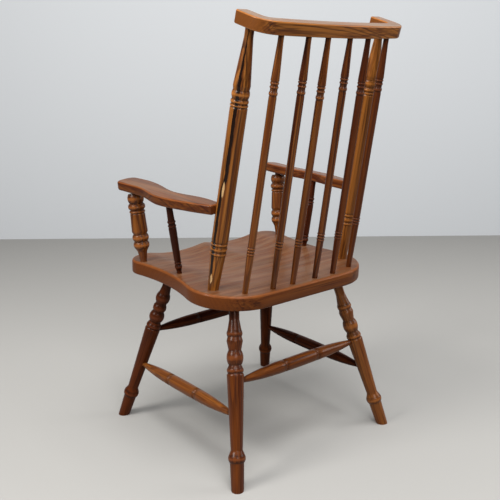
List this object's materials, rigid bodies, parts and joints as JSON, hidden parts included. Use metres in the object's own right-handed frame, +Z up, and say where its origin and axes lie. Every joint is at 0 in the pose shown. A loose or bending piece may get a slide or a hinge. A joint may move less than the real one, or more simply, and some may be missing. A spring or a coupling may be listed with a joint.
{
  "type": "captains chair",
  "caption": "High-backed wooden armchair: saddled plank seat on turned legs and stretchers, turned posts and spindles, a bowed crest rail and wavy arms.",
  "frame": {"origin": "on the floor, at the middle of the outer box of the whole chair", "axes": "+Z up, +X towards the sitter's left, -Y the way the sitter faces"},
  "size_m": [0.5456, 0.5795, 1.0404],
  "materials": {
    "seat_wood": "satin varnish, brown pine",
    "turned_wood": "satin varnish, red-brown pine",
    "board_wood": "satin varnish, red-brown pine",
    "dowel_wood": "bare wood, glued"
  },
  "bodies": {
    "root": {"seat": "seat_wood", "leg_front_left": "turned_wood", "leg_front_right": "turned_wood", "leg_rear_left": "turned_wood", "leg_rear_right": "turned_wood", "stretcher_left": "turned_wood", "stretcher_right": "turned_wood", "stretcher_front": "turned_wood", "stretcher_back": "turned_wood", "back_post_left": "turned_wood", "back_post_right": "turned_wood", "back_spindle_1": "turned_wood", "back_spindle_2": "turned_wood", "back_spindle_3": "turned_wood", "back_spindle_4": "turned_wood", "back_spindle_5": "turned_wood", "back_spindle_6": "turned_wood", "crest_rail": "board_wood", "arm_left": "board_wood", "arm_right": "board_wood", "arm_post_left": "turned_wood", "arm_post_right": "turned_wood", "arm_spindle_left": "turned_wood", "arm_spindle_right": "turned_wood", "arm_dowel_left": "dowel_wood", "arm_dowel_right": "dowel_wood"}
  },
  "joints": []
}
